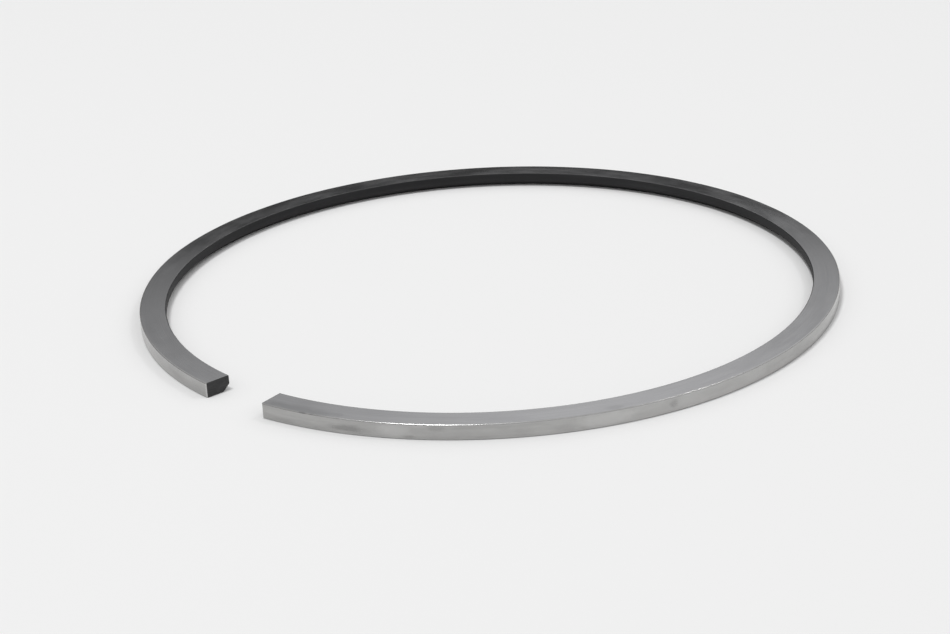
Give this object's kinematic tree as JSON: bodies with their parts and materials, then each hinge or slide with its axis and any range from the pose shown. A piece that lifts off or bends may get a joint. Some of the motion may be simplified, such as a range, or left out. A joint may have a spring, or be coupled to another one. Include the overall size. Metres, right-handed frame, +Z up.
{
  "type": "piston ring",
  "caption": "Split piston ring of near-rectangular section with ground sides, a smooth running face, an internal bevel and square-cut ends, shown free; it seals a piston in its cylinder.",
  "frame": {"origin": "on the ring axis, at the lower side", "axes": "+Z up along the ring axis, from the bevelled lower side to the upper side; the end gap faces -Y"},
  "size_m": [0.1032, 0.1029, 0.0022],
  "materials": {
    "ring": "satin ground sides, polished running face, dark inner face and ends"
  },
  "bodies": {
    "root": {"piston_ring": "ring"}
  },
  "joints": []
}
